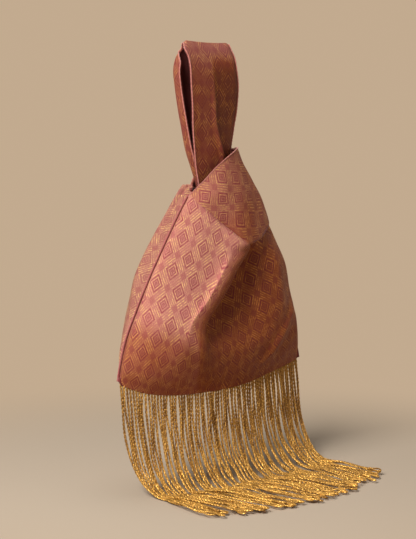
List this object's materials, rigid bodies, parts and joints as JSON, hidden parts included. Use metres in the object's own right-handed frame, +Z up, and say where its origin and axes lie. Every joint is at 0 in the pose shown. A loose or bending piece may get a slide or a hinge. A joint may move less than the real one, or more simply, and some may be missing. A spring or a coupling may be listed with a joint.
{
  "type": "knot bag",
  "caption": "Soft lined knot bag: a long strap loop passes through a short strap loop that closes the neck, with a looped cord fringe along the hem.",
  "frame": {"origin": "centre of the flat underside of the long handle's top fold, where a hand or a hook holds the bag", "axes": "+Z up, +X along the hem from the left side seam to the right one, -Y out of the front panel"},
  "size_m": [0.259, 0.2296, 0.4354],
  "materials": {
    "brocade": "woven figured brocade, dusty rose ground with gold and raspberry lozenges, soft sheen",
    "lining": "plain dark red lining cloth, soft satin",
    "fringe_cord": "antique gold twisted metallic cord"
  },
  "bodies": {
    "handle": {"long_handle_outer": "brocade", "long_handle_lining": "lining"},
    "bag": {"handle_front_leg_outer": "brocade", "handle_front_leg_lining": "lining", "handle_back_leg_outer": "brocade", "handle_back_leg_lining": "lining", "outer_front_panel": "brocade", "front_lining": "lining", "outer_back_panel": "brocade", "back_lining": "lining", "fringe_section_1": "fringe_cord", "fringe_section_2": "fringe_cord", "fringe_section_3": "fringe_cord", "fringe_section_4": "fringe_cord"},
    "short_loop": {"short_loop_outer": "brocade", "short_loop_lining": "lining"}
  },
  "joints": [
    {"name": "bag_swing", "type": "hinge", "parent": "handle", "child": "bag", "pos_m": [0, -0.006, -0.085], "axis": [1, 0, 0], "range_deg": [-30, 30], "deforming": ["handle_front_leg_outer", "handle_front_leg_lining", "handle_back_leg_outer", "handle_back_leg_lining"]},
    {"name": "loop_slide", "type": "slide", "parent": "bag", "child": "short_loop", "axis": [0, 0, 1], "range_m": [0, 0.012]}
  ]
}
